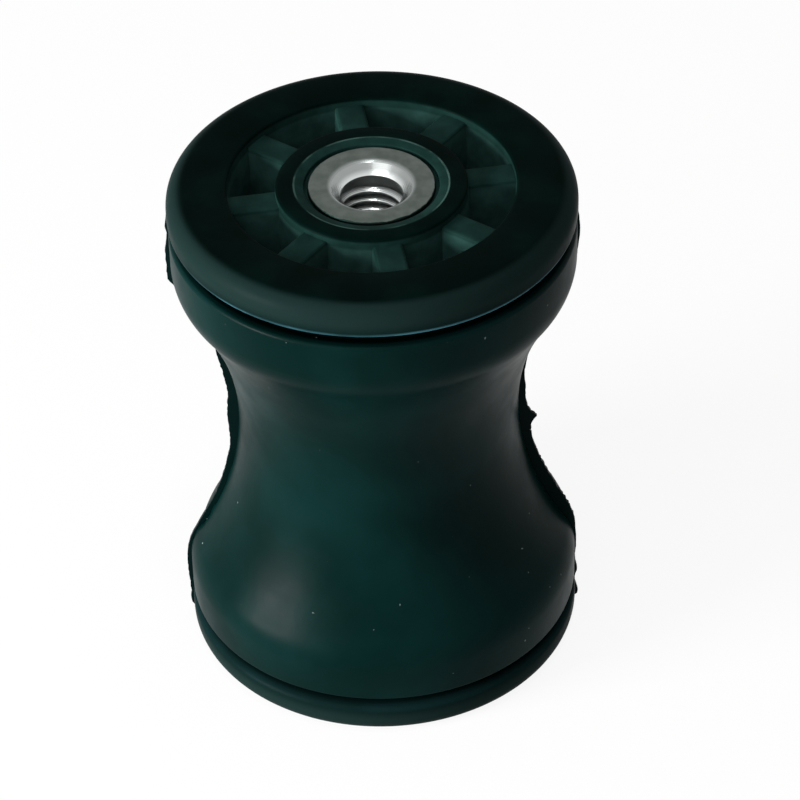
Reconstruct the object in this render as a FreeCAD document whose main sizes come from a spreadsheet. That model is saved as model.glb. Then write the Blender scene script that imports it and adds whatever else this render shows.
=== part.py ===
import FreeCAD, Part
import Sketcher
import os

# Hourglass rubber joint: a waisted rubber body bonded between two flanged end plates.
# Each plate is a plastic cup with a ring of ribbed pockets round a hub, and the hub holds a turned
# metal insert with a blind threaded hole. Millimetres, +Z up, origin at the centre of the lower face.
# The parting plane of the rubber's mould is XZ.

SIZES = {
    # Whole joint
    "total_height": 61.5,
    # Threaded insert, from its axis outwards and from its face down
    "thread_core_radius": 3.32,
    "insert_wall": 3.68,
    "mouth_width": 1.4,
    "mouth_depth": 1.3,
    "mouth_round": 0.6,
    "thread_depth": 12.0,
    "drill_point_depth": 2.0,
    "insert_floor": 2.0,
    "insert_edge": 0.25,
    "collar_height": 5.0,
    "anchor_height": 3.0,
    "anchor_depth": 1.0,
    # Clearances
    "insert_clearance": 0.02,
    "bond_film": 0.1,
    # End plate, from the insert outwards
    "shrink_gap": 0.22,
    "shrink_depth": 0.5,
    "mouth_ring_width": 1.35,
    "mouth_ring_drop": 0.25,
    "hub_wall": 3.5,
    "pocket_width": 5.3,
    "cup_wall": 1.6,
    "neck_wall": 3.4,
    "flange_lip": 1.7,
    # End plate, from its face down
    "flange_thickness": 4.0,
    "face_round": 2.0,
    "under_round": 0.5,
    "rim_edge_round": 0.3,
    "rib_drop": 0.8,
    "pocket_depth": 10.0,
    "cup_floor": 1.8,
    "cup_edge_round": 1.0,
    "cup_draft": 2.0,
    "boss_wall": 2.5,
    "boss_floor": 1.5,
    # Ribs between the pockets
    "rib_count": 8,
    "rib_width": 3.2,
    "rib_phase": 8.6,
    "pocket_draft": 3.0,
    "pocket_round": 0.7,
    # Rubber body
    "groove_height": 1.0,
    "rim_lip": 1.6,
    "rim_height": 4.2,
    "rim_round": 1.2,
    "shoulder_round": 6.0,
    "waist_radius": 15.9,
    # Mould flash on the parting plane
    "flash_at_waist": 1.0,
    "flash_at_rim": 0.6,
    "flash_thickness": 0.5,
    "flash_root": 1.5,
}

document = FreeCAD.newDocument("RubberJoint")
sheet = document.addObject("Spreadsheet::Sheet", "Sizes")
for row, (alias, value) in enumerate(SIZES.items(), start=1):
    sheet.set("A%d" % row, alias)
    sheet.set("B%d" % row, str(value))
    sheet.setAlias("B%d" % row, alias)
document.recompute()

# Radii that several pieces share, as expressions on the sheet, from the axis outwards
INSERT = "(Sizes.thread_core_radius + Sizes.insert_wall)"
SOCKET = "(%s + Sizes.insert_clearance)" % INSERT
HUB = "(%s + Sizes.hub_wall)" % INSERT
POCKET = "(%s + Sizes.pocket_width)" % HUB
CUP = "(%s + Sizes.cup_wall)" % POCKET
GROOVE = "(%s + Sizes.neck_wall)" % CUP
FLANGE = "(%s + Sizes.flange_lip)" % GROOVE
RIM = "(%s + Sizes.rim_lip)" % GROOVE
BOSS = "(%s + Sizes.boss_wall)" % INSERT

# Depths below an end plate's outer face
INSERT_TOP = "Sizes.mouth_ring_drop"
INSERT_LENGTH = "(Sizes.mouth_depth + Sizes.thread_depth + Sizes.drill_point_depth + Sizes.insert_floor)"
INSERT_FOOT = "(%s + %s + Sizes.insert_clearance)" % (INSERT_TOP, INSERT_LENGTH)
BOSS_FOOT = "(%s + Sizes.boss_floor)" % INSERT_FOOT
CUP_FOOT = "(Sizes.pocket_depth + Sizes.cup_floor)"
CUP_FOOT_RADIUS = "(%s - (%s - Sizes.flange_thickness) * tan(Sizes.cup_draft * 1 deg))" % (CUP, CUP_FOOT)

# Heights above the joint's middle
HALF = "(Sizes.total_height / 2)"
SEAT = "(%s - Sizes.flange_thickness)" % HALF
RIM_TOP = "(%s - Sizes.groove_height)" % SEAT
RIM_FOOT = "(%s - Sizes.rim_height)" % RIM_TOP
CAVITY_FLOOR = "(%s - %s - Sizes.bond_film)" % (HALF, CUP_FOOT)

# The sketcher's own numbers: for its origin and axes, and for the points of a curve
ORIGIN, X_AXIS, Y_AXIS = -1, -1, -2
WHOLE_CURVE, START, END, CENTRE = range(len(("curve", "start", "end", "centre")))
SAME_PLACE = 1e-3


def number(expression):
    """Value of an expression on the sheet."""
    return float(sheet.evalExpression(expression))


def base_feature(body, role):
    """Plane or axis of the body's own origin."""
    for feature in body.Origin.OriginFeatures:
        if feature.Role == role:
            return feature


def new_sketch(body, name, role):
    sketch = body.newObject("Sketcher::SketchObject", name)
    sketch.AttachmentSupport = [(base_feature(body, role), "")]
    sketch.MapMode = "FlatFace"
    return sketch


def bind(sketch, kind, places, expression):
    """Add a dimension to a sketch and bind it to the sheet."""
    name = "Size%d" % sketch.ConstraintCount
    index = sketch.addConstraint(Sketcher.Constraint(kind, *places, number(expression)))
    sketch.renameConstraint(index, name)
    sketch.setExpression("Constraints." + name, expression)


def fix_point(sketch, edge, end, across, up):
    """Hold a point at a distance across and up from the sketch's origin."""
    for kind, axis, expression in (("DistanceX", Y_AXIS, across), ("DistanceY", X_AXIS, up)):
        if expression == "0":
            sketch.addConstraint(Sketcher.Constraint("PointOnObject", edge, end, axis))
        else:
            bind(sketch, kind, (edge, end), expression)


def vector(across, up):
    return FreeCAD.Vector(number(across), number(up), 0)


def path(sketch, corners, closed):
    """Straight runs from corner to corner, each corner held at its own place."""
    places = [vector(across, up) for across, up in corners]
    count = len(corners)
    runs = count if closed else count - 1
    lines = []
    for i in range(runs):
        lines.append(sketch.addGeometry(Part.LineSegment(places[i], places[(i + 1) % count]), False))
    for i, line in enumerate(lines):
        fix_point(sketch, line, START, *corners[i])
        if closed or i + 1 < runs:
            sketch.addConstraint(Sketcher.Constraint("Coincident", line, END, lines[(i + 1) % runs], START))
    if not closed:
        fix_point(sketch, lines[-1], END, *corners[-1])
    return lines


def arc(sketch, centre, start, end):
    """Arc that runs anticlockwise from start to end about centre."""
    circle = Part.Circle(centre, FreeCAD.Vector(0, 0, 1), centre.distanceToPoint(start))
    return sketch.addGeometry(Part.ArcOfCircle(circle, circle.parameter(start), circle.parameter(end)), False)


def revolve(body, sketch):
    turned = body.newObject("PartDesign::Revolution", sketch.Name + "Turned")
    turned.Profile = sketch
    turned.ReferenceAxis = (sketch, ["V_Axis"])
    turned.Angle = 360
    document.recompute()
    return turned


def round_edges(body, base, name, size, chosen):
    """Round the edges of a feature that chosen() picks."""
    names = ["Edge%d" % (i + 1) for i, edge in enumerate(base.Shape.Edges) if chosen(edge)]
    rounded = body.newObject("PartDesign::Fillet", name)
    rounded.Base = (base, names)
    rounded.setExpression("Radius", "Sizes." + size)
    document.recompute()
    return rounded


def ring(radius, height):
    """Test for the circular edge of a radius at a height, in the piece's own frame."""
    def chosen(edge):
        curve = edge.Curve
        if not isinstance(curve, Part.Circle):
            return False
        return abs(curve.Radius - radius) < SAME_PLACE and abs(curve.Center.z - height) < SAME_PLACE
    return chosen


# Threaded insert, with its face at height 0 and its foot below


def make_insert(label):
    body = document.addObject("PartDesign::Body", label)
    body.Label = label
    section = new_sketch(body, label + "_section", "XZ_Plane")
    neck = "(%s - Sizes.anchor_depth)" % INSERT
    mouth = "(Sizes.thread_core_radius + Sizes.mouth_width)"
    anchor_foot = "(Sizes.collar_height + Sizes.anchor_height)"
    thread_foot = "(Sizes.mouth_depth + Sizes.thread_depth)"
    path(section, [
        (mouth, "0"),
        ("Sizes.thread_core_radius", "-Sizes.mouth_depth"),
        ("Sizes.thread_core_radius", "-" + thread_foot),
        ("0", "-(%s + Sizes.drill_point_depth)" % thread_foot),
        ("0", "-" + INSERT_LENGTH),
        (INSERT, "-" + INSERT_LENGTH),
        (INSERT, "-" + anchor_foot),
        (neck, "-" + anchor_foot),
        (neck, "-Sizes.collar_height"),
        (INSERT, "-Sizes.collar_height"),
        (INSERT, "0"),
    ], closed=True)
    turned = revolve(body, section)
    softened = round_edges(body, turned, label + "_mouth", "mouth_round", ring(number(mouth), 0))
    round_edges(body, softened, label + "_edge", "insert_edge", ring(number(INSERT), 0))
    return body


# End plate, with its outer face at height 0 and its cup below


def make_end_plate(label):
    body = document.addObject("PartDesign::Body", label)
    body.Label = label
    section = new_sketch(body, label + "_section", "XZ_Plane")
    collar_foot = "(%s + Sizes.collar_height + Sizes.insert_clearance)" % INSERT_TOP
    anchor_foot = "(%s - 2 * Sizes.insert_clearance + Sizes.anchor_height)" % collar_foot
    ridge = "(%s - Sizes.anchor_depth)" % SOCKET
    mouth_ring = "(%s + Sizes.shrink_gap)" % INSERT
    face_ring = "(%s + Sizes.mouth_ring_width)" % mouth_ring
    path(section, [
        (face_ring, "0"),
        (mouth_ring, "-Sizes.mouth_ring_drop"),
        (mouth_ring, "-(Sizes.mouth_ring_drop + Sizes.shrink_depth)"),
        (SOCKET, "-(Sizes.mouth_ring_drop + Sizes.shrink_depth)"),
        (SOCKET, "-" + collar_foot),
        (ridge, "-" + collar_foot),
        (ridge, "-" + anchor_foot),
        (SOCKET, "-" + anchor_foot),
        (SOCKET, "-" + INSERT_FOOT),
        ("0", "-" + INSERT_FOOT),
        ("0", "-" + BOSS_FOOT),
        (BOSS, "-" + BOSS_FOOT),
        (BOSS, "-" + CUP_FOOT),
        (CUP_FOOT_RADIUS, "-" + CUP_FOOT),
        (CUP, "-Sizes.flange_thickness"),
        (FLANGE, "-Sizes.flange_thickness"),
        (FLANGE, "0"),
        (POCKET, "0"),
        (POCKET, "-Sizes.rib_drop"),
        (HUB, "-Sizes.rib_drop"),
        (HUB, "0"),
    ], closed=True)
    solid = revolve(body, section)
    solid = round_edges(body, solid, label + "_face_round", "face_round", ring(number(FLANGE), 0))
    under = ring(number(FLANGE), -number("Sizes.flange_thickness"))
    solid = round_edges(body, solid, label + "_under_round", "under_round", under)
    cup_edge = ring(number(CUP_FOOT_RADIUS), -number(CUP_FOOT))
    boss_edge = ring(number(BOSS), -number(BOSS_FOOT))
    solid = round_edges(body, solid, label + "_cup_round", "cup_edge_round",
                        lambda edge: cup_edge(edge) or boss_edge(edge))
    outer_edge = ring(number(POCKET), 0)
    hub_edge = ring(number(HUB), 0)
    round_edges(body, solid, label + "_rim_round", "rim_edge_round",
                lambda edge: outer_edge(edge) or hub_edge(edge))
    cut_pockets(body, label)
    return body


def cut_pockets(body, label):
    """Ring of drafted pockets round the hub, with a rib of even width between each two."""
    sketch = new_sketch(body, label + "_pocket_outline", "XY_Plane")
    sketch.setExpression("AttachmentOffset.Base.z", "-Sizes.rib_drop")
    step = "(360 / Sizes.rib_count)"
    half_rib = number("Sizes.rib_width") / 2
    corner = number("Sizes.pocket_round")
    centre = FreeCAD.Vector(0, 0, 0)
    upright = FreeCAD.Vector(0, 0, 1)
    rims = ((number(HUB), 1), (number(POCKET), -1))
    walls = []
    for angle, away in (("Sizes.rib_phase", 1), ("(Sizes.rib_phase + %s)" % step, -1)):
        along = FreeCAD.Rotation(upright, number(angle)).multVec(FreeCAD.Vector(1, 0, 0))
        aside = FreeCAD.Vector(-along.y, along.x, 0) * away
        wall = []
        for radius, inward in rims:
            reach = radius + corner * inward
            length = (reach ** 2 - (half_rib + corner) ** 2) ** 0.5
            middle = along * length + aside * (half_rib + corner)
            wall.append((middle, along * length + aside * half_rib, middle * (radius / reach)))
        walls.append(wall)
    (first_hub, first_rim), (last_hub, last_rim) = walls
    first = sketch.addGeometry(Part.LineSegment(first_hub[1], first_rim[1]), False)
    last = sketch.addGeometry(Part.LineSegment(last_rim[1], last_hub[1]), False)
    outer = arc(sketch, centre, first_rim[2], last_rim[2])
    inner = arc(sketch, centre, first_hub[2], last_hub[2])
    corners = [
        arc(sketch, first_rim[0], first_rim[1], first_rim[2]),
        arc(sketch, last_rim[0], last_rim[2], last_rim[1]),
        arc(sketch, last_hub[0], last_hub[1], last_hub[2]),
        arc(sketch, first_hub[0], first_hub[2], first_hub[1]),
    ]
    for place in ((first, END, corners[0], START), (corners[0], END, outer, START),
                  (outer, END, corners[1], START), (corners[1], END, last, START),
                  (last, END, corners[2], START), (corners[2], END, inner, END),
                  (inner, START, corners[3], START), (corners[3], END, first, START)):
        sketch.addConstraint(Sketcher.Constraint("Tangent", *place))
    for curve in (outer, inner):
        sketch.addConstraint(Sketcher.Constraint("Coincident", curve, CENTRE, ORIGIN, START))
    bind(sketch, "Radius", (outer,), POCKET)
    bind(sketch, "Radius", (inner,), HUB)
    for curve in corners:
        bind(sketch, "Radius", (curve,), "Sizes.pocket_round")
    for line in (first, last):
        bind(sketch, "Distance", (ORIGIN, START, line), "Sizes.rib_width / 2")
    bind(sketch, "Angle", (first,), "Sizes.rib_phase * 1 deg")
    bind(sketch, "Angle", (last,), "(Sizes.rib_phase + %s - 180) * 1 deg" % step)
    pocket = body.newObject("PartDesign::Pocket", label + "_pocket")
    pocket.Profile = sketch
    pocket.setExpression("Length", "Sizes.pocket_depth - Sizes.rib_drop")
    pocket.setExpression("TaperAngle", "-Sizes.pocket_draft * 1 deg")
    document.recompute()
    pattern = body.newObject("PartDesign::PolarPattern", label + "_pockets")
    pattern.Originals = [pocket]
    pattern.Axis = (base_feature(body, "Z_Axis"), [""])
    pattern.Angle = 360
    pattern.setExpression("Occurrences", "Sizes.rib_count")
    body.Tip = pattern
    document.recompute()


# Rubber body, with its middle at height 0. Only the upper half is drawn, and a mirror makes the rest.


def make_rubber(label):
    body = document.addObject("PartDesign::Body", label)
    body.Label = label
    section = new_sketch(body, label + "_section", "XZ_Plane")
    cup_top = "(%s + Sizes.bond_film)" % CUP
    cup_foot = "(%s + Sizes.bond_film)" % CUP_FOOT_RADIUS
    boss = "(%s + Sizes.bond_film)" % BOSS
    boss_floor = "(%s - %s - Sizes.bond_film)" % (HALF, BOSS_FOOT)
    lines = path(section, [
        (RIM, RIM_FOOT),
        (RIM, RIM_TOP),
        (GROOVE, RIM_TOP),
        (GROOVE, SEAT),
        (cup_top, SEAT),
        (cup_foot, CAVITY_FLOOR),
        (boss, CAVITY_FLOOR),
        (boss, boss_floor),
        ("0", boss_floor),
        ("0", "0"),
        ("Sizes.waist_radius", "0"),
    ], closed=False)
    waist_and_shoulder(section, lines, RIM, "Sizes.waist_radius", "Sizes.shoulder_round")
    solid = revolve(body, section)
    solid = round_edges(body, solid, label + "_rim_round", "rim_round", ring(number(RIM), number(RIM_TOP)))
    cup_edge = ring(number(cup_foot), number(CAVITY_FLOOR))
    boss_edge = ring(number(boss), number(boss_floor))
    solid = round_edges(body, solid, label + "_cup_round", "cup_edge_round",
                        lambda edge: cup_edge(edge) or boss_edge(edge))
    add_flash(body, label)
    mirrored = body.newObject("PartDesign::Mirrored", label + "_both_ends")
    mirrored.TransformMode = "Whole shape"
    mirrored.MirrorPlane = (base_feature(body, "XY_Plane"), [""])
    body.Tip = mirrored
    document.recompute()
    return body


def waist_and_shoulder(sketch, lines, rim, waist, shoulder):
    """Close an outline with its waist arc, as large as lets it run smoothly into the shoulder arc."""
    radius = number(shoulder)
    shoulder_centre = vector("%s - %s" % (rim, shoulder), RIM_FOOT)
    narrowest = vector(waist, "0")
    across = narrowest.x - shoulder_centre.x
    waist_arc = (across ** 2 + shoulder_centre.y ** 2 - radius ** 2) / (2 * (radius - across))
    waist_centre = narrowest + FreeCAD.Vector(waist_arc, 0, 0)
    apart = waist_centre - shoulder_centre
    join = shoulder_centre + apart * (radius / apart.Length)
    lower = arc(sketch, waist_centre, join, narrowest)
    upper = arc(sketch, shoulder_centre, join, vector(rim, RIM_FOOT))
    sketch.addConstraint(Sketcher.Constraint("Coincident", lower, END, lines[-1], END))
    sketch.addConstraint(Sketcher.Constraint("PointOnObject", lower, CENTRE, X_AXIS))
    sketch.addConstraint(Sketcher.Constraint("Tangent", lower, START, upper, START))
    sketch.addConstraint(Sketcher.Constraint("Tangent", upper, END, lines[0], START))
    bind(sketch, "Radius", (upper,), shoulder)


def add_flash(body, label):
    """Thin fin on the parting plane at both sides, from the waist up past the rim."""
    sketch = new_sketch(body, label + "_flash_outline", "XZ_Plane")
    root = "(Sizes.waist_radius - Sizes.flash_root)"
    crest = "(Sizes.waist_radius + Sizes.flash_at_waist)"
    rim_root = "(%s - Sizes.flash_root)" % RIM
    rim_crest = "(%s + Sizes.flash_at_rim)" % RIM
    lines = path(sketch, [
        (rim_crest, RIM_FOOT),
        (rim_crest, "%s - Sizes.rim_round" % RIM_TOP),
        (rim_root, "%s - Sizes.rim_round / 2" % RIM_TOP),
        (rim_root, CAVITY_FLOOR),
        (root, "%s / 2" % CAVITY_FLOOR),
        (root, "0"),
        (crest, "0"),
    ], closed=False)
    waist_and_shoulder(sketch, lines, rim_crest, crest, "(Sizes.shoulder_round + Sizes.flash_at_rim)")
    pad = body.newObject("PartDesign::Pad", label + "_flash")
    pad.Profile = sketch
    pad.SideType = "Symmetric"
    pad.setExpression("Length", "Sizes.flash_thickness")
    document.recompute()
    both = body.newObject("PartDesign::PolarPattern", label + "_flash_sides")
    both.Originals = [pad]
    both.Axis = (base_feature(body, "Z_Axis"), [""])
    both.Angle = 360
    both.Occurrences = 2
    body.Tip = both
    document.recompute()


TURNED_OVER = FreeCAD.Rotation(FreeCAD.Vector(1, 0, 0), 180)
parts = []

rubber = make_rubber("rubber_body")
rubber.setExpression("Placement.Base.z", "Sizes.total_height / 2")
parts.append(rubber)

upper_plate = make_end_plate("upper_end_plate")
upper_plate.setExpression("Placement.Base.z", "Sizes.total_height")
parts.append(upper_plate)

lower_plate = make_end_plate("lower_end_plate")
lower_plate.Placement = FreeCAD.Placement(FreeCAD.Vector(0, 0, 0), TURNED_OVER)
parts.append(lower_plate)

upper_insert = make_insert("upper_threaded_insert")
upper_insert.setExpression("Placement.Base.z", "Sizes.total_height - " + INSERT_TOP)
parts.append(upper_insert)

lower_insert = make_insert("lower_threaded_insert")
lower_insert.Placement = FreeCAD.Placement(FreeCAD.Vector(0, 0, 0), TURNED_OVER)
lower_insert.setExpression("Placement.Base.z", INSERT_TOP)
parts.append(lower_insert)

document.recompute()

for item in document.Objects:
    if "Invalid" in item.State or "Error" in item.State:
        raise RuntimeError("%s did not build: %s" % (item.Label, item.State))
for part in parts:
    if part.Shape.isNull() or not part.Shape.isValid() or len(part.Shape.Solids) != 1:
        raise RuntimeError("%s is not one valid solid" % part.Label)

os.makedirs("parts", exist_ok=True)
for part in parts:
    part.Shape.exportStep("parts/%s.step" % part.Label)
    box = part.Shape.BoundBox
    print("%-22s %9.1f mm3  z %.2f to %.2f  r %.2f" % (part.Label, part.Shape.Volume, box.ZMin, box.ZMax, box.XMax))
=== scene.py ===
import math
import random

import bpy
from mathutils import Matrix, Vector


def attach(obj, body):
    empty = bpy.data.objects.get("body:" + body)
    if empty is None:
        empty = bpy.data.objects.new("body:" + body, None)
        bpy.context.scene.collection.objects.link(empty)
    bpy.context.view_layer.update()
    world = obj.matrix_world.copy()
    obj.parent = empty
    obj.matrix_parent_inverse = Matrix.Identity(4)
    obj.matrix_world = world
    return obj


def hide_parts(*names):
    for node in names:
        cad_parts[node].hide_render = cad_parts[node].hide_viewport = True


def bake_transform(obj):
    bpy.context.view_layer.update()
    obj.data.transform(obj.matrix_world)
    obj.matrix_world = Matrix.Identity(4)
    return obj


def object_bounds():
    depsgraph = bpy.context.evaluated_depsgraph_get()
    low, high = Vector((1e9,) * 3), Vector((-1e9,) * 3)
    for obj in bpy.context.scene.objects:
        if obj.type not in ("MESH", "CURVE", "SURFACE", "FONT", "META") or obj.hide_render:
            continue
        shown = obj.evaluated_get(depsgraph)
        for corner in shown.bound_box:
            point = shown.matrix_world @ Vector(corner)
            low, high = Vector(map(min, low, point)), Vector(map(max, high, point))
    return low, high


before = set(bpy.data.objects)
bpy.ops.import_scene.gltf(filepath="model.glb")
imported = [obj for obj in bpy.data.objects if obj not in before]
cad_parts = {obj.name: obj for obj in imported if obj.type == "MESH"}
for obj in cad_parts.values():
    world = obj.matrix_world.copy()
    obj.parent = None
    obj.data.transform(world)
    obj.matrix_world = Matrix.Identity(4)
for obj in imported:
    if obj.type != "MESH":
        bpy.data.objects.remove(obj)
cad_low, cad_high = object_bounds()

# Hourglass rubber joint: a waisted rubber body between two flanged plastic end plates, each with a
# threaded metal insert in its hub. Lengths are in millimetres until place() makes them metres.

METRE = 1000.0
HEIGHT = cad_high.z * METRE
HALF = HEIGHT / 2

# Threaded insert, M8
INSERT_R = 7.0
INSERT_TOP = 0.25
INSERT_LENGTH = 17.3
INSERT_EDGE = 0.25
THREAD_CREST_R = 3.36
THREAD_ROOT_R = 4.0
THREAD_PITCH = 1.25
THREAD_DEPTH = 12.0
THREAD_SINK = 0.15
THREAD_ROOT_SHARE = 0.42
THREAD_CREST_HALF = 0.09
THREAD_START = 0.7
THREAD_RUNOUT = 0.8
RELIEF_FOOT = 0.6
RELIEF_TOP = 0.35
DRILL_POINT = 2.0
MOUTH_R = 4.6
MOUTH_FOOT_R = 3.4
MOUTH_DEPTH = 1.3
MOUTH_ROUND = 1.0
COLLAR = 5.0
ANCHOR = 3.0
ANCHOR_DEPTH = 1.0

# End plate
FLANGE_R = 22.49
FLANGE = 4.0
FACE_ROUND = 2.0
UNDER_ROUND = 0.9
HUB_R = 10.5
POCKET_R = 15.8
POCKET_DEPTH = 10.0
RIB_DROP = 0.8
RIB_WIDTH = 3.2
RIB_COUNT = 8
RIB_PHASE = 8.6
RIB_SUNK_END = 0.6
RIB_SUNK_FOOT = 0.4
RIB_BEVEL = 0.28
RIB_BEVEL_STEPS = 3
RIB_BEVEL_ANGLE = 40
POCKET_DRAFT = 3.0
POCKET_ROUND = 0.7
RIM_EDGE = 0.3
MOUTH_RING = 8.57
MOUTH_RING_DROP = 0.25
MOUTH_RING_EDGE = [(-0.3, -0.055), (-0.1, -0.015), (0.1, 0)]
SHRINK_GAP = 0.42
SHRINK_DEPTH = 0.5
SHRINK_ROUND = 0.12
SHRINK_ROUND_DROP = 0.1
SHRINK_ROUND_END = 100
SOCKET_GAP = 0.02
CUP_R = 17.4
CUP_DEPTH = 11.8
CUP_FOOT_R = 17.13
CUP_EDGE = 1.0
BOSS_R = 9.5
BOSS_DEPTH = 19.07

# Rubber body
BOND = 0.1
GROOVE = 1.15
GROOVE_R = 20.8
RIM_R = 22.4
RIM_HEIGHT = 4.05
RIM_ROUND = 0.5
SHOULDER_ROUND = 6.0
WAIST_R = 15.9
RIM_TOP = HALF - FLANGE - GROOVE
RIM_FOOT = RIM_TOP - RIM_HEIGHT

# Mould flash on the parting plane: how far its torn edge stands out from the rubber or the flange
FLASH_THICKNESS = 0.45
FLASH_LIMIT = cad_high.x * METRE - 0.01
FLASH_LEFT = [
    (0.4, 0.02), (0.9, 0.35), (1.9, 0.48), (2.6, 0.3), (3.4, 0.42), (4.3, 0.4), (5.2, 0.5), (6.2, 0.58),
    (7.4, 0.58), (8.6, 0.52), (9.8, 0.38), (11.2, 0.28), (12.4, 0.32), (13.6, 0.5), (15.0, 0.6),
    (17.5, 0.6), (20.0, 0.64), (22.5, 0.7), (24.5, 0.72), (26.0, 0.85), (27.4, 1.05), (28.8, 1.26),
    (30.2, 1.3), (31.6, 1.2), (32.7, 1.07), (34.5, 1.15), (36.5, 1.22), (38.4, 1.25), (40.0, 0.95),
    (42.5, 0.8), (45.5, 0.9), (47.0, 1.1), (48.2, 1.3), (49.2, 1.3), (50.2, 0.9), (51.2, 0.56),
    (53.3, 0.5), (54.5, 0.3), (55.6, 0.2), (56.5, 0.34), (57.3, 0.2), (58.2, 0.1), (59.0, 0.02),
]
FLASH_RIGHT = [
    (0.3, 0.02), (0.6, 0.34), (1.1, 0.42), (1.8, 0.28), (2.4, 0.1), (3.1, 0.02), (3.7, 0.12), (4.2, 0.3),
    (4.8, 0.3), (5.3, 0.2), (6.0, 0.12), (6.9, 0.08), (8.1, 0.2), (9.5, 0.2), (10.7, 0.3), (11.9, 0.7),
    (13.1, 1.22), (14.4, 1.56), (15.6, 1.68), (17.0, 1.66), (18.2, 1.58), (19.5, 1.48), (20.7, 1.38),
    (21.9, 1.25), (23.0, 1.13), (24.3, 1.08), (25.6, 1.04), (26.7, 1.16), (27.5, 1.5), (28.05, 2.0),
    (28.6, 1.45), (29.3, 1.05), (30.2, 0.88), (31.4, 0.8), (32.6, 0.75), (33.8, 0.56), (35.0, 0.46),
    (37.0, 0.5), (38.4, 0.45), (41.0, 0.4), (46.0, 0.35), (50.5, 0.2), (51.8, 0.08), (53.0, 0.2),
    (54.0, 0.32), (55.0, 0.32), (56.2, 0.2), (57.0, 0.06), (57.6, 0.02),
]
FLASH_LEFT_SEED = 3
FLASH_RIGHT_SEED = 5
FLASH_STEP = 0.35
FLASH_JITTER = 0.05
FLASH_ROOT = 0.9
FLASH_ROOT_CLEAR = 0.4
FLASH_ON_FLANGE = 0.06

# The rubber's rear left is drawn in below the waist, and this fades out across the middle
REAR_LEFT_SHY = 0.8
SHY_FADE_TOP = 5.0
SHY_FADE = 10.0
OUTSIDE_SLACK = 0.1
CAVITY_SLACK = 0.1
CAVITY_WALL = 0.2

# The attribute that keeps the rubber's shape at rest
REST_SPOT = "rest_spot"

# Steps round the axis, smoothing angles and the distance at which points are one
RUBBER_STEPS = 192
PLATE_STEPS = 192
INSERT_STEPS = 96
RUBBER_SMOOTH = 35
HARD_SMOOTH = 30
SAME_POINT = 1e-4


# Modelling helpers


def deselect():
    if bpy.context.mode != "OBJECT":
        bpy.ops.object.mode_set(mode="OBJECT")
    bpy.ops.object.select_all(action="DESELECT")


def pick(piece):
    deselect()
    bpy.context.view_layer.objects.active = piece
    piece.select_set(True)


def adopt(name):
    piece = bpy.context.active_object
    piece.name = name
    piece.data.name = name
    return piece


def arc(centre, radius, start, end, steps):
    """Points on an arc in the section plane, angles in degrees from the outward direction."""
    step = (end - start) / steps
    angles = [math.radians(start + step * i) for i in range(steps + 1)]
    return [(centre[0] + radius * math.cos(a), centre[1] + radius * math.sin(a)) for a in angles]


def trace(name, section):
    """Draw a section in the XZ plane: a plane merged to one point, then drawn out from point to point."""
    deselect()
    (x, z), rest = section[0], section[1:]
    bpy.ops.mesh.primitive_plane_add(size=1, location=(x, 0, z))
    piece = adopt(name)
    bpy.ops.object.mode_set(mode="EDIT")
    bpy.ops.mesh.merge(type="CENTER")
    for next_x, next_z in rest:
        step = (next_x - x, 0, next_z - z)
        bpy.ops.mesh.extrude_region_move(TRANSFORM_OT_translate={"value": step})
        x, z = next_x, next_z
    bpy.ops.object.mode_set(mode="OBJECT")
    bpy.ops.object.transform_apply(location=True, rotation=True, scale=True)
    return piece


def tidy(piece):
    """Merge doubles and point every face outwards."""
    pick(piece)
    bpy.ops.object.mode_set(mode="EDIT")
    bpy.ops.mesh.select_all(action="SELECT")
    bpy.ops.mesh.remove_doubles(threshold=SAME_POINT)
    bpy.ops.mesh.normals_make_consistent(inside=False)
    bpy.ops.object.mode_set(mode="OBJECT")


def turn(name, section, steps):
    """Spin a section about the joint's axis into one closed solid."""
    piece = trace(name, section)
    bpy.ops.object.mode_set(mode="EDIT")
    bpy.ops.mesh.select_all(action="SELECT")
    bpy.ops.mesh.spin(steps=steps, angle=math.tau, center=(0, 0, 0), axis=(0, 0, 1))
    tidy(piece)
    return piece


def apply(piece, kind, **settings):
    """Add a modifier with these settings and apply it."""
    pick(piece)
    modifier = piece.modifiers.new(kind.title(), kind)
    for key, value in settings.items():
        setattr(modifier, key, value)
    bpy.ops.object.modifier_apply(modifier=modifier.name)


def join_solid(piece, tool):
    """Unite a piece with another solid, which is then removed."""
    apply(piece, "BOOLEAN", object=tool, operation="UNION", solver="EXACT")
    bpy.data.objects.remove(tool)


def place(piece, turned_over=False, up=0.0):
    """Turn a piece over if it belongs at the lower end, lift it, and make its mesh metres."""
    flip = Matrix.Rotation(math.pi, 4, "X") if turned_over else Matrix.Identity(4)
    piece.data.transform(Matrix.Scale(1 / METRE, 4) @ Matrix.Translation((0, 0, up)) @ flip)
    piece.data.update()


def smooth(piece, angle):
    pick(piece)
    bpy.ops.object.shade_smooth_by_angle(angle=math.radians(angle))


# Rubber body


def outline_half():
    """Upper half of the rubber's outside, from the waist up to its seat under the flange."""
    spread = RIM_R - WAIST_R
    arc_sum = (RIM_FOOT ** 2 + spread ** 2) / (2 * spread)
    waist_arc = arc_sum - SHOULDER_ROUND
    lean = math.degrees(math.asin(RIM_FOOT / arc_sum))
    points = arc((WAIST_R + waist_arc, 0), waist_arc, 180, 180 - lean, 28)
    points += arc((RIM_R - SHOULDER_ROUND, RIM_FOOT), SHOULDER_ROUND, -lean, 0, 9)[1:]
    points += arc((RIM_R - RIM_ROUND, RIM_TOP - RIM_ROUND), RIM_ROUND, 0, 90, 7)
    points += [(GROOVE_R, RIM_TOP), (GROOVE_R, HALF - FLANGE)]
    return points


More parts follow.
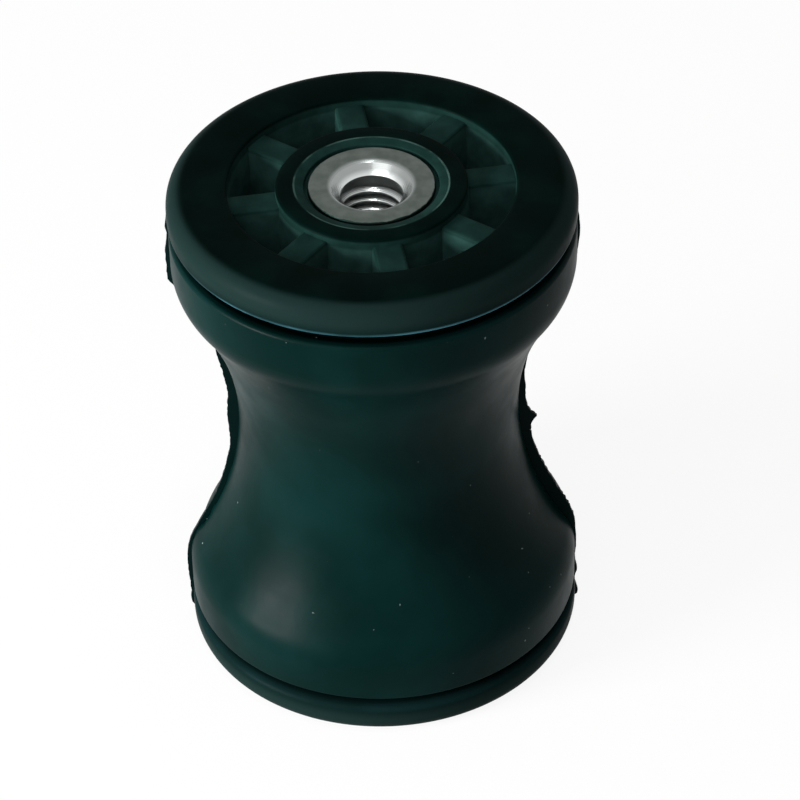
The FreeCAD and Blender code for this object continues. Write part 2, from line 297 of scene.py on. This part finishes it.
def bond_half():
    """Upper half of the rubber's inside, from its seat down to the axis below the hub's boss."""
    floor = HALF - CUP_DEPTH - BOND
    boss_floor = HALF - BOSS_DEPTH - BOND
    return [
        (CUP_R + BOND, HALF - FLANGE),
        (CUP_FOOT_R + BOND, floor),
        (BOSS_R + BOND, floor),
        (BOSS_R + BOND, boss_floor),
        (0, boss_floor),
    ]


def surface_radius(height):
    """Radius of the joint's outside at a height above its foot, across grooves and flanges."""
    from_middle = abs(height - HALF)
    if from_middle > HALF - FLANGE - GROOVE - RIM_ROUND / 2:
        return FLANGE_R - FLASH_ON_FLANGE
    outside = outline_half()
    for (r0, z0), (r1, z1) in zip(outside, outside[1:]):
        if z0 <= from_middle <= z1 and z1 > z0:
            return r0 + (r1 - r0) * (from_middle - z0) / (z1 - z0)
    return RIM_R


def proud_at(table, height):
    """How far the flash stands out at a height, between the two nearest rows of its table."""
    for (z0, p0), (z1, p1) in zip(table, table[1:]):
        if z0 <= height <= z1:
            return p0 + (p1 - p0) * (height - z0) / (z1 - z0)
    return table[-1][1]


def make_flash(side, table, seed):
    """Thin torn fin along one side of the rubber, in the parting plane of its mould."""
    draw = random.Random(seed)
    low, high = table[0][0], table[-1][0]
    count = int((high - low) / FLASH_STEP)
    heights = [low + (high - low) * i / count for i in range(count + 1)]
    heights = sorted(heights + [z for z, _ in table[1:-1]])
    crest, root = [], []
    for height in heights:
        base = surface_radius(height)
        proud = proud_at(table, height) * (1 + draw.uniform(-1, 1) * FLASH_JITTER)
        crest.append((side * min(base + proud, FLASH_LIMIT), height - HALF))
        depth = FLASH_ROOT if abs(height - HALF) < RIM_TOP - FLASH_ROOT_CLEAR else 0.0
        root.append((side * (base - depth), height - HALF))
    fin = trace("flash", crest + root[::-1])
    bpy.ops.object.mode_set(mode="EDIT")
    bpy.ops.mesh.select_all(action="SELECT")
    bpy.ops.mesh.edge_face_add()
    bpy.ops.object.mode_set(mode="OBJECT")
    apply(fin, "SOLIDIFY", thickness=FLASH_THICKNESS, offset=0)
    tidy(fin)
    return fin


def flatten_rear_left(piece):
    """Draw in the rubber's rear left below the waist, where its mould halves don't quite match."""
    cavity_floor = HALF - CUP_DEPTH - BOND - CAVITY_SLACK
    for vertex in piece.data.vertices:
        x, y, z = vertex.co
        radius = math.hypot(x, y)
        in_cavity = abs(z) > cavity_floor and radius < CUP_R + CAVITY_WALL
        if x < 0 < y and radius > WAIST_R - OUTSIDE_SLACK and not in_cavity:
            fade = min(1.0, max(0.0, (SHY_FADE_TOP - z) / SHY_FADE))
            vertex.co.x -= REAR_LEFT_SHY * fade * x / radius


def keep_rest_spots(piece):
    """Store where each vertex is at rest, so that the rubber's finish moves with it when it bends."""
    rest = piece.data.attributes.new(REST_SPOT, "FLOAT_VECTOR", "POINT")
    for vertex, spot in zip(piece.data.vertices, rest.data):
        spot.vector = vertex.co


def make_rubber():
    """Waisted rubber with both fins of mould flash, hollow where the cups and bosses sit."""
    upper = outline_half() + bond_half()
    lower = [(x, -z) for x, z in reversed(upper)]
    piece = turn("rubber_moulding", lower + upper[1:], RUBBER_STEPS)
    flatten_rear_left(piece)
    join_solid(piece, make_flash(-1, FLASH_LEFT, FLASH_LEFT_SEED))
    join_solid(piece, make_flash(1, FLASH_RIGHT, FLASH_RIGHT_SEED))
    tidy(piece)
    place(piece, up=HALF)
    keep_rest_spots(piece)
    smooth(piece, RUBBER_SMOOTH)
    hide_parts("rubber_body")
    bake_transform(piece)
    return piece


# End plates


def plate_section():
    """Section of an end plate from the axis outwards and back, its outer face at height 0."""
    foot = -POCKET_DEPTH
    narrowing = POCKET_DEPTH * math.tan(math.radians(POCKET_DRAFT))
    socket = INSERT_R + SOCKET_GAP
    socket_foot = -(INSERT_TOP + INSERT_LENGTH + SOCKET_GAP)
    shrink_foot = -(MOUTH_RING_DROP + SHRINK_DEPTH)
    ring = INSERT_R + SHRINK_GAP
    ring_lip = (ring + SHRINK_ROUND, -MOUTH_RING_DROP - SHRINK_ROUND_DROP)
    points = [(0, socket_foot), (socket, socket_foot), (socket, shrink_foot), (ring, shrink_foot)]
    points += arc(ring_lip, SHRINK_ROUND, 180, SHRINK_ROUND_END, 4)
    points += [(MOUTH_RING + out, up) for out, up in MOUTH_RING_EDGE]
    points += arc((HUB_R - RIM_EDGE, -RIM_EDGE), RIM_EDGE, 90, 0, 4)
    points += arc((HUB_R + narrowing + POCKET_ROUND, foot + POCKET_ROUND), POCKET_ROUND, 180, 270, 4)
    points += arc((POCKET_R - narrowing - POCKET_ROUND, foot + POCKET_ROUND), POCKET_ROUND, 270, 360, 4)
    points += arc((POCKET_R + RIM_EDGE, -RIM_EDGE), RIM_EDGE, 180, 90, 4)
    points += arc((FLANGE_R - FACE_ROUND, -FACE_ROUND), FACE_ROUND, 90, 0, 12)
    points += arc((FLANGE_R - UNDER_ROUND, -FLANGE + UNDER_ROUND), UNDER_ROUND, 0, -90, 6)
    points += [(CUP_R, -FLANGE)]
    points += arc((CUP_FOOT_R - CUP_EDGE, -CUP_DEPTH + CUP_EDGE), CUP_EDGE, 0, -90, 4)
    points += [(BOSS_R, -CUP_DEPTH)]
    points += arc((BOSS_R - CUP_EDGE, -BOSS_DEPTH + CUP_EDGE), CUP_EDGE, 0, -90, 4)
    points += [(0, -BOSS_DEPTH)]
    return points


def make_rib(angle):
    """One drafted rib across the pocket ring, with softened edges, its ends and foot sunk in the plate."""
    deselect()
    top, foot = -RIB_DROP, -POCKET_DEPTH - RIB_SUNK_FOOT
    inner, outer = HUB_R - RIB_SUNK_END, POCKET_R + RIB_SUNK_END
    bpy.ops.mesh.primitive_cube_add(size=1, location=((inner + outer) / 2, 0, (top + foot) / 2))
    rib = adopt("rib")
    rib.scale = (outer - inner, RIB_WIDTH, top - foot)
    bpy.ops.object.transform_apply(location=True, rotation=True, scale=True)
    spread = 1 + 2 * (top - foot) * math.tan(math.radians(POCKET_DRAFT)) / RIB_WIDTH
    for vertex in rib.data.vertices:
        if vertex.co.z < (top + foot) / 2:
            vertex.co.y *= spread
    apply(rib, "BEVEL", width=RIB_BEVEL, segments=RIB_BEVEL_STEPS, limit_method="ANGLE",
          angle_limit=math.radians(RIB_BEVEL_ANGLE))
    rib.data.transform(Matrix.Rotation(math.radians(angle), 4, "Z"))
    return rib


def make_plate(name, node, body, turned_over):
    """Flanged end plate with its ring of ribbed pockets, for the upper or the lower end."""
    piece = turn(name, plate_section(), PLATE_STEPS)
    for i in range(RIB_COUNT):
        join_solid(piece, make_rib(RIB_PHASE + 360 / RIB_COUNT * i))
    tidy(piece)
    place(piece, turned_over, 0.0 if turned_over else HEIGHT)
    smooth(piece, HARD_SMOOTH)
    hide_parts(node)
    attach(piece, body)
    return piece


# Threaded inserts


def insert_section():
    """Section of an insert from the drill point outwards and back to the axis, its face at height 0."""
    thread_foot = -(MOUTH_DEPTH + THREAD_DEPTH)
    slope = math.degrees(math.atan2(MOUTH_DEPTH, MOUTH_R - MOUTH_FOOT_R))
    setback = MOUTH_ROUND * math.tan(math.radians(slope / 2))
    points = [(0, thread_foot - DRILL_POINT), (THREAD_CREST_R, thread_foot)]
    points += [(THREAD_ROOT_R, thread_foot + RELIEF_FOOT), (THREAD_ROOT_R, -MOUTH_DEPTH - RELIEF_TOP)]
    points += [(MOUTH_FOOT_R, -MOUTH_DEPTH)]
    points += arc((MOUTH_R + setback, -MOUTH_ROUND), MOUTH_ROUND, 90 + slope, 90, 8)
    points += arc((INSERT_R - INSERT_EDGE, -INSERT_EDGE), INSERT_EDGE, 90, 0, 3)
    points += [(INSERT_R, -COLLAR), (INSERT_R - ANCHOR_DEPTH, -COLLAR)]
    points += [(INSERT_R - ANCHOR_DEPTH, -COLLAR - ANCHOR), (INSERT_R, -COLLAR - ANCHOR)]
    points += [(INSERT_R, -INSERT_LENGTH), (0, -INSERT_LENGTH)]
    return points


def make_thread():
    """Helical ridge of the internal thread, its root sunk in the wall."""
    root = THREAD_ROOT_R + THREAD_SINK
    half = THREAD_PITCH * THREAD_ROOT_SHARE
    turns = int((THREAD_DEPTH - THREAD_RUNOUT) / THREAD_PITCH)
    start = -MOUTH_DEPTH - THREAD_DEPTH + THREAD_START
    crest = [(THREAD_CREST_R, start - THREAD_CREST_HALF), (THREAD_CREST_R, start + THREAD_CREST_HALF)]
    ridge = trace("thread", [(root, start - half)] + crest + [(root, start + half)])
    bpy.ops.object.mode_set(mode="EDIT")
    bpy.ops.mesh.select_all(action="SELECT")
    bpy.ops.mesh.edge_face_add()
    bpy.ops.mesh.delete(type="ONLY_FACE")
    bpy.ops.object.mode_set(mode="OBJECT")
    apply(ridge, "SCREW", axis="Z", angle=math.tau, screw_offset=THREAD_PITCH, iterations=turns,
          steps=INSERT_STEPS, render_steps=INSERT_STEPS)
    bpy.ops.object.mode_set(mode="EDIT")
    bpy.ops.mesh.select_all(action="SELECT")
    bpy.ops.mesh.fill_holes(sides=4)
    tidy(ridge)
    return ridge


def make_insert(name, node, body, turned_over):
    """Turned insert with its blind threaded hole, for the upper or the lower end."""
    piece = turn(name, insert_section(), INSERT_STEPS)
    join_solid(piece, make_thread())
    tidy(piece)
    place(piece, turned_over, INSERT_TOP if turned_over else HEIGHT - INSERT_TOP)
    smooth(piece, HARD_SMOOTH)
    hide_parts(node)
    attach(piece, body)
    return piece


# Colours of the finishes, as linear red, green and blue
RUBBER_MEAN = (0.0010, 0.0130, 0.0118)
RUBBER_DARK = (0.0004, 0.0067, 0.0060)
RUBBER_PALE = (0.0011, 0.0112, 0.0105)
# Painted shade for the groove under each flange
GROOVE_PAINTED_SHADE = (0.0002, 0.0012, 0.0011)
# Painted shade for the mould fins
FIN_PAINTED_SHADE = (0.0008, 0.0045, 0.0042)
RUBBER_DUST = (0.10, 0.13, 0.12)
PLATE_MEAN = (0.0006, 0.0050, 0.0042)
FACE_DARK = (0.0002, 0.0026, 0.0020)
FACE_PALE = (0.0006, 0.0052, 0.0042)
# Painted light and shade for the flanges' sides: shaded towards the groove, lit towards the face
SIDE_PAINTED_SHADE = (0.0018, 0.0074, 0.0070)
SIDE_PAINTED_LIGHT = (0.0056, 0.0140, 0.0128)
RECESS_PALE = (0.0092, 0.0300, 0.0255)
RECESS_DEEP = (0.0200, 0.0560, 0.0490)
LIP_PALE = (0.040, 0.080, 0.070)
# Painted reflection along the flanges' under edges
UNDER_EDGE_PAINTED_REFLECTION = (0.040, 0.125, 0.155)
METAL_MEAN = (0.13, 0.15, 0.14)
METAL_DARK = (0.070, 0.086, 0.075)
METAL_PALE = (0.102, 0.120, 0.110)
MOUTH_CUT = (0.31, 0.33, 0.325)
# Cut metal for the bore, lifted further as painted light
BORE_CUT_AND_PAINTED_LIGHT = (0.62, 0.65, 0.64)
# Painted shade for the insert's outer edge, beside the gap round it
INSERT_RIM_PAINTED_SHADE = (0.006, 0.014, 0.012)

# Where the finishes fade, in millimetres: a radius from the axis or a height from the middle
GROOVE_SHADE_HEIGHT = (RIM_TOP - 0.35, RIM_TOP - 0.1)
GROOVE_SHADE_R = (21.3, 21.8)
FIN_SHADE_Y = (0.26, 0.4)
RECESS_TOP = (HALF - 0.45, HALF - 0.12)
RECESS_OUTER_R = (15.8, 16.1)
RECESS_INNER_R = (10.2, 10.5)
RECESS_RING_R = (8.4, 8.7)
RECESS_DEEP_HEIGHT = (HALF - 1.4, HALF - 1.0)
SIDE_R = (20.6, 21.6)
SIDE_HEIGHT = (HALF - 3.6, HALF - 2.0)
LIP_INNER_R = (8.34, 8.42)
LIP_OUTER_R = (8.53, 8.60)
UNDER_EDGE_R = (21.4, 21.8)
UNDER_EDGE_HEIGHT = (HALF - FLANGE + 0.4, HALF - FLANGE + 0.85)
UPPER_HALF_Z = (HALF, HALF + 1.0)
MOUTH_CUT_R = (4.3, 5.0)
BORE_CUT_R = (3.4, 4.0)
INSERT_SHADE_R = (6.98, 7.06)

# Shares that don't run from 0 to 1
FIN_SHADE_SHARE = 0.6
RECESS_LEAST = 0.55
UNDER_EDGE_LEAST = 0.25
LOWER_PAINTED_REFLECTION_SHARE = 0.03

# Patches of noise: scale, detail, then the noise values between which a patch fades
RUBBER_CLOUD = (70.0, 3.0, 0.35, 0.7)
RUBBER_SPECKS = (1500.0, 1.0, 0.80, 0.83)
RUBBER_SHINE = (220.0, 3.0, 0.3, 0.7)
RECESS_PATCHES = (400.0, 4.0, 0.3, 0.75)
FACE_CLOUD = (160.0, 4.0, 0.35, 0.7)
LIP_PATCHES = (300.0, 3.0, 0.35, 0.6)
UNDER_EDGE_PATCHES = (110.0, 3.0, 0.38, 0.62)
PLATE_SHINE = (500.0, 3.0, 0.3, 0.7)
METAL_STAIN = (700.0, 4.0, 0.3, 0.7)

# Bumps: scale and detail of the noise, then the depth in metres
RUBBER_WAVES = (260.0, 2.0, 0.00006)
RUBBER_GRAIN = (3800.0, 2.0, 0.00002)
PLATE_WAVES = (420.0, 3.0, 0.00005)
PLATE_GRAIN = (5000.0, 2.0, 0.000015)
METAL_GRAIN = (2600.0, 3.0, 0.00001)
GRAIN_STRENGTH = 0.5

# Turning marks on the insert, and the ragged edge of the painted shade round its outer edge
MARKS_PER_METRE = 42000.0
MARK_DEPTH = 0.000004
MARK_STRENGTH = 0.6
RAGGED_NOISE = (900.0, 3.0)
RAGGED_DEPTH = 0.0003

# Roughness of each finish, its mean or its two ends
RUBBER_ROUGHNESS = 0.36
RUBBER_ROUGH_ENDS = (0.32, 0.40)
PLATE_ROUGHNESS = 0.36
PLATE_ROUGH_ENDS = (0.32, 0.42)
METAL_ROUGHNESS = 0.4
METAL_ROUGH_ENDS = (0.42, 0.24)
RUBBER_SPECULAR = 0.021
PLATE_SPECULAR = 0.006


class Finish:
    """Node tree of one material, with its Principled shader."""

    def __init__(self, name, colour, roughness, metallic=0.0, specular=0.5):
        self.material = bpy.data.materials.new(name)
        self.material.use_nodes = True
        self.tree = self.material.node_tree
        self.shader = self.tree.nodes["Principled BSDF"]
        self.shader.inputs["Base Color"].default_value = (*colour, 1)
        self.shader.inputs["Roughness"].default_value = roughness
        self.shader.inputs["Metallic"].default_value = metallic
        self.shader.inputs["Specular IOR Level"].default_value = specular
        self.spot = self.tree.nodes.new("ShaderNodeTexCoord").outputs["Object"]

    def follow(self, attribute):
        """Read places from an attribute that moves with the mesh, in place of Object coordinates."""
        node = self.tree.nodes.new("ShaderNodeAttribute")
        node.attribute_name = attribute
        self.spot = node.outputs["Vector"]

    def add(self, kind, links=(), **values):
        """Add a node, set its values, and link or set each input that is named."""
        node = self.tree.nodes.new(kind)
        for key, value in values.items():
            setattr(node, key, value)
        for socket, source in dict(links).items():
            if isinstance(source, bpy.types.NodeSocket):
                self.tree.links.new(source, node.inputs[socket])
            else:
                node.inputs[socket].default_value = source
        return node

    def math(self, operation, *terms):
        return self.add("ShaderNodeMath", dict(enumerate(terms)), operation=operation).outputs[0]

    def both(self, *shares):
        """Product of several shares."""
        product = shares[0]
        for share in shares[1:]:
            product = self.math("MULTIPLY", product, share)
        return product

    def ramp(self, value, low, high, low_out=0.0, high_out=1.0):
        """Smooth step of a value between two limits."""
        node = self.add("ShaderNodeMapRange", {"Value": value}, interpolation_type="SMOOTHSTEP")
        limits = {"From Min": low, "From Max": high, "To Min": low_out, "To Max": high_out}
        for socket, number in limits.items():
            node.inputs[socket].default_value = number
        return node.outputs["Result"]

    def beyond(self, length, limits, low_out=0.0, high_out=1.0):
        """Share that rises where a length in metres passes two limits in millimetres."""
        return self.ramp(length, limits[0] / METRE, limits[1] / METRE, low_out, high_out)

    def within(self, length, limits, low_out=1.0):
        """Share that falls to 0 where a length in metres passes two limits in millimetres."""
        return self.beyond(length, limits, low_out, 0.0)

    def noise(self, scale, detail):
        links = {"Vector": self.spot, "Scale": scale, "Detail": detail}
        return self.add("ShaderNodeTexNoise", links).outputs["Fac"]

    def patches(self, kind, low_out=0.0, high_out=1.0):
        """Soft patches of noise, from one of the rows above."""
        scale, detail, low, high = kind
        return self.ramp(self.noise(scale, detail), low, high, low_out, high_out)

    def blend(self, share, first, second):
        """Colour between two colours."""
        node = self.add("ShaderNodeMix", data_type="RGBA")
        self.tree.links.new(share, node.inputs["Factor"])
        for socket, colour in ((node.inputs[6], first), (node.inputs[7], second)):
            if isinstance(colour, bpy.types.NodeSocket):
                self.tree.links.new(colour, socket)
            else:
                socket.default_value = (*colour, 1)
        return node.outputs[2]

    def into(self, socket, source):
        self.tree.links.new(source, self.shader.inputs[socket])

    def bump(self, height, distance, strength, under=None):
        """Normal of a bump, laid over the bump under it if one is given."""
        links = {"Height": height, "Distance": distance, "Strength": strength}
        node = self.add("ShaderNodeBump", links)
        if under:
            self.tree.links.new(under, node.inputs["Normal"])
        return node.outputs["Normal"]

    def grain(self, kind, under=None):
        """Bump of noise, from one of the rows above."""
        scale, detail, depth = kind
        return self.bump(self.noise(scale, detail), depth, GRAIN_STRENGTH, under)

    def axis(self, name):
        return self.add("ShaderNodeSeparateXYZ", {"Vector": self.spot}).outputs[name]

    def place(self):
        """Radius from the axis and distance from the middle height, both in metres."""
        apart = self.add("ShaderNodeSeparateXYZ", {"Vector": self.spot})
        across = self.math("POWER", apart.outputs["X"], 2.0)
        along = self.math("POWER", apart.outputs["Y"], 2.0)
        radius = self.math("SQRT", self.math("ADD", across, along))
        height = self.math("ABSOLUTE", self.math("SUBTRACT", apart.outputs["Z"], HALF / METRE))
        return radius, height


def dress(finish, *pieces):
    for piece in pieces:
        piece.data.materials.clear()
        piece.data.materials.append(finish.material)


def rubber_finish():
    """Black-green moulded rubber: faint mottling, fine grain, a few dust specks, painted shade in the
    grooves and on the fins.
    """
    finish = Finish("rubber_black_green", RUBBER_MEAN, RUBBER_ROUGHNESS, specular=RUBBER_SPECULAR)
    finish.follow(REST_SPOT)
    colour = finish.blend(finish.patches(RUBBER_CLOUD), RUBBER_DARK, RUBBER_PALE)
    radius, height = finish.place()
    # Painted shade on the rim's top, in the groove under each flange
    groove = finish.both(finish.beyond(height, GROOVE_SHADE_HEIGHT), finish.within(radius, GROOVE_SHADE_R))
    colour = finish.blend(groove, colour, GROOVE_PAINTED_SHADE)
    # Painted shade on the mould fins and the rubber beside them
    fin = finish.within(finish.math("ABSOLUTE", finish.axis("Y")), FIN_SHADE_Y, FIN_SHADE_SHARE)
    colour = finish.blend(fin, colour, FIN_PAINTED_SHADE)
    colour = finish.blend(finish.patches(RUBBER_SPECKS), colour, RUBBER_DUST)
    finish.into("Base Color", colour)
    finish.into("Roughness", finish.patches(RUBBER_SHINE, *RUBBER_ROUGH_ENDS))
    finish.into("Normal", finish.grain(RUBBER_GRAIN, under=finish.grain(RUBBER_WAVES)))
    return finish


def plate_finish():
    """Black moulded plastic, paler in the pockets, the mouth ring and its lip, with painted light and shade
    on the flange sides and a painted reflection on their under edges.
    """
    finish = Finish("plate_black_green", PLATE_MEAN, PLATE_ROUGHNESS, specular=PLATE_SPECULAR)
    radius, height = finish.place()
    face = finish.blend(finish.patches(FACE_CLOUD), FACE_DARK, FACE_PALE)
    # The flange's side is painted lighter than the face as painted light, and darker towards the groove as
    # painted shade
    side = finish.blend(finish.beyond(height, SIDE_HEIGHT), SIDE_PAINTED_SHADE, SIDE_PAINTED_LIGHT)
    colour = finish.blend(finish.beyond(radius, SIDE_R), face, side)
    # Paler in the pockets and the mouth ring, and paler still deeper down, in patches
    below_face = finish.within(height, RECESS_TOP)
    in_pockets = finish.both(finish.within(radius, RECESS_OUTER_R), finish.beyond(radius, RECESS_INNER_R))
    recess = finish.math("MAXIMUM", finish.both(below_face, in_pockets), finish.within(radius, RECESS_RING_R))
    recess_colour = finish.blend(finish.within(height, RECESS_DEEP_HEIGHT), RECESS_PALE, RECESS_DEEP)
    colour = finish.blend(finish.both(recess, finish.patches(RECESS_PATCHES, RECESS_LEAST)), colour, recess_colour)
    # A paler line along the mouth ring's outer lip, in patches
    lip = finish.both(finish.beyond(radius, LIP_INNER_R), finish.within(radius, LIP_OUTER_R))
    colour = finish.blend(finish.both(lip, finish.patches(LIP_PATCHES)), colour, LIP_PALE)
    # Painted reflection along the flange's under edge, in patches; the lower plate gets only a trace of it
    edge = finish.both(finish.beyond(radius, UNDER_EDGE_R), finish.within(height, UNDER_EDGE_HEIGHT))
    upper = finish.beyond(finish.axis("Z"), UPPER_HALF_Z, LOWER_PAINTED_REFLECTION_SHARE)
    painted_edge_reflection = finish.both(edge, upper, finish.patches(UNDER_EDGE_PATCHES, UNDER_EDGE_LEAST))
    finish.into("Base Color", finish.blend(painted_edge_reflection, colour, UNDER_EDGE_PAINTED_REFLECTION))
    finish.into("Roughness", finish.patches(PLATE_SHINE, *PLATE_ROUGH_ENDS))
    finish.into("Normal", finish.grain(PLATE_GRAIN, under=finish.grain(PLATE_WAVES)))
    return finish


def metal_finish():
    """Plated steel: dull grey face, bright cut mouth and thread, the bore lifted further by painted light,
    and painted shade in a ragged band at its outer edge.
    """
    finish = Finish("insert_satin_metal", METAL_MEAN, METAL_ROUGHNESS, metallic=1.0)
    radius, _ = finish.place()
    cut = finish.within(radius, MOUTH_CUT_R)
    colour = finish.blend(finish.patches(METAL_STAIN), METAL_DARK, METAL_PALE)
    colour = finish.blend(cut, colour, MOUTH_CUT)
    # The bore is cut metal, painted paler still as painted light inside the hole
    colour = finish.blend(finish.within(radius, BORE_CUT_R), colour, BORE_CUT_AND_PAINTED_LIGHT)
    # Painted shade in a ragged band round the insert's outer edge, beside the gap
    ragged = finish.math("ADD", radius, finish.both(finish.noise(*RAGGED_NOISE), RAGGED_DEPTH))
    finish.into("Base Color", finish.blend(finish.beyond(ragged, INSERT_SHADE_R), colour, INSERT_RIM_PAINTED_SHADE))
    finish.into("Roughness", finish.ramp(cut, 0.0, 1.0, *METAL_ROUGH_ENDS))
    marks = finish.math("SINE", finish.both(radius, MARKS_PER_METRE))
    turned = finish.bump(marks, MARK_DEPTH, MARK_STRENGTH)
    finish.into("Normal", finish.grain(METAL_GRAIN, under=turned))
    return finish


# Camera, fitted to the photo: focal length and aim in pixels, angles in radians, distance in millimetres
CAMERA_PIXELS = 3903.0
CAMERA_RISE = math.radians(39.56)
CAMERA_ROLL = math.radians(1.591)
CAMERA_DISTANCE = 443.27
CAMERA_NEAR = 0.01
CAMERA_FAR = 20
MIDDLE_PIXEL = (378.5, 400.7)
PICTURE = 800.0
SENSOR = 36.0

# Lamps: azimuth and rise in degrees, then distance, width and height in metres, then watts
LAMPS = {
    "key": (-64, 9, 0.7, 0.28, 0.34, 15),
    "fill": (-35, 45, 0.9, 0.6, 0.6, 2.3),
    "ceiling": (8, 80, 0.9, 0.1, 0.1, 1.4),
}

# Floor and world
FLOOR_SIZE = 6
FLOOR_COLOUR = (0.8, 0.8, 0.8, 1)
FLOOR_ROUGHNESS = 0.9
FLOOR_SEEN = 0.9
WHITE = (1, 1, 1, 1)
WORLD_LIGHT = 0.3
WORLD_SEEN = 1.0


def make_camera():
    data = bpy.data.cameras.new("camera")
    data.sensor_width = SENSOR
    data.lens = CAMERA_PIXELS * SENSOR / PICTURE
    camera = bpy.data.objects.new("camera", data)
    bpy.context.scene.collection.objects.link(camera)
    ahead = Vector((0, math.cos(CAMERA_RISE), -math.sin(CAMERA_RISE)))
    right = Vector((1, 0, 0))
    down = Vector((0, -math.sin(CAMERA_RISE), -math.cos(CAMERA_RISE)))
    across = right * math.cos(CAMERA_ROLL) + down * math.sin(CAMERA_ROLL)
    under = down * math.cos(CAMERA_ROLL) - right * math.sin(CAMERA_ROLL)
    aim_x = (MIDDLE_PIXEL[0] - PICTURE / 2) / CAMERA_PIXELS
    aim_y = (MIDDLE_PIXEL[1] - PICTURE / 2) / CAMERA_PIXELS
    ray = (across * aim_x + under * aim_y + ahead).normalized()
    spot = Vector((0, 0, HALF)) - ray * CAMERA_DISTANCE
    turned = Matrix((across, -under, -ahead)).transposed().to_4x4()
    camera.matrix_world = Matrix.Translation(spot / METRE) @ turned
    data.clip_start = CAMERA_NEAR
    data.clip_end = CAMERA_FAR
    bpy.context.scene.camera = camera


def make_lamp(name, azimuth, rise, distance, width, height, power):
    """Soft lamp that faces the joint's middle, azimuth 0 in front and 90 at the right."""
    data = bpy.data.lights.new(name, "AREA")
    data.shape = "RECTANGLE"
    data.size = width
    data.size_y = height
    data.energy = power
    lamp = bpy.data.objects.new(name, data)
    bpy.context.scene.collection.objects.link(lamp)
    side, up = math.radians(azimuth), math.radians(rise)
    back = Vector((math.sin(side) * math.cos(up), -math.cos(side) * math.cos(up), math.sin(up)))
    lamp.location = Vector((0, 0, HALF / METRE)) + back * distance
    lamp.rotation_euler = back.to_track_quat("Z", "Y").to_euler()


def seen_share(tree, share):
    """This share for rays from the camera, a reflection or through glass, and 0 for the rest."""
    path = tree.nodes.new("ShaderNodeLightPath")
    seen = path.outputs["Is Camera Ray"]
    for name in ("Is Glossy Ray", "Is Transmission Ray"):
        either = tree.nodes.new("ShaderNodeMath")
        either.operation = "MAXIMUM"
        tree.links.new(seen, either.inputs[0])
        tree.links.new(path.outputs[name], either.inputs[1])
        seen = either.outputs[0]
    scaled = tree.nodes.new("ShaderNodeMath")
    scaled.operation = "MULTIPLY"
    scaled.inputs[1].default_value = share
    tree.links.new(seen, scaled.inputs[0])
    return scaled.outputs[0]


def mix_seen(tree, share, lit, bright, output):
    """Show the bright shader to the rays that seen_share names, and the lit one to the rest."""
    mix = tree.nodes.new("ShaderNodeMixShader")
    tree.links.new(seen_share(tree, share), mix.inputs[0])
    tree.links.new(lit.outputs[0], mix.inputs[1])
    tree.links.new(bright.outputs[0], mix.inputs[2])
    tree.links.new(mix.outputs[0], tree.nodes[output].inputs["Surface"])


def make_floor():
    """White floor that keeps the object's shadow."""
    deselect()
    bpy.ops.mesh.primitive_plane_add(size=FLOOR_SIZE, location=(0, 0, 0))
    floor = adopt("floor")
    material = bpy.data.materials.new("floor_white")
    material.use_nodes = True
    tree = material.node_tree
    paper = tree.nodes["Principled BSDF"]
    paper.inputs["Base Color"].default_value = FLOOR_COLOUR
    paper.inputs["Roughness"].default_value = FLOOR_ROUGHNESS
    paper.inputs["Specular IOR Level"].default_value = 0.0
    glow = tree.nodes.new("ShaderNodeEmission")
    glow.inputs["Strength"].default_value = 1.0
    mix_seen(tree, FLOOR_SEEN, paper, glow, "Material Output")
    floor.data.materials.append(material)


def make_world():
    """White background that lights the joint only a little."""
    world = bpy.data.worlds.new("studio")
    bpy.context.scene.world = world
    world.use_nodes = True
    tree = world.node_tree
    dim = tree.nodes["Background"]
    dim.inputs["Color"].default_value = WHITE
    dim.inputs["Strength"].default_value = WORLD_LIGHT
    bright = tree.nodes.new("ShaderNodeBackground")
    bright.inputs["Color"].default_value = WHITE
    bright.inputs["Strength"].default_value = 1.0
    mix_seen(tree, WORLD_SEEN, dim, bright, "World Output")


rubber = make_rubber()
upper_plate = make_plate("upper_plate_moulding", "upper_end_plate", "upper_end", False)
lower_plate = make_plate("lower_plate_moulding", "lower_end_plate", "lower_end", True)
upper_insert = make_insert("upper_insert_turned", "upper_threaded_insert", "upper_end", False)
lower_insert = make_insert("lower_insert_turned", "lower_threaded_insert", "lower_end", True)

dress(rubber_finish(), rubber)
dress(plate_finish(), upper_plate, lower_plate)
dress(metal_finish(), upper_insert, lower_insert)

make_floor()
make_world()
for lamp_name, lamp_values in LAMPS.items():
    make_lamp(lamp_name, *lamp_values)
make_camera()

bpy.context.scene.view_settings.view_transform = "Standard"
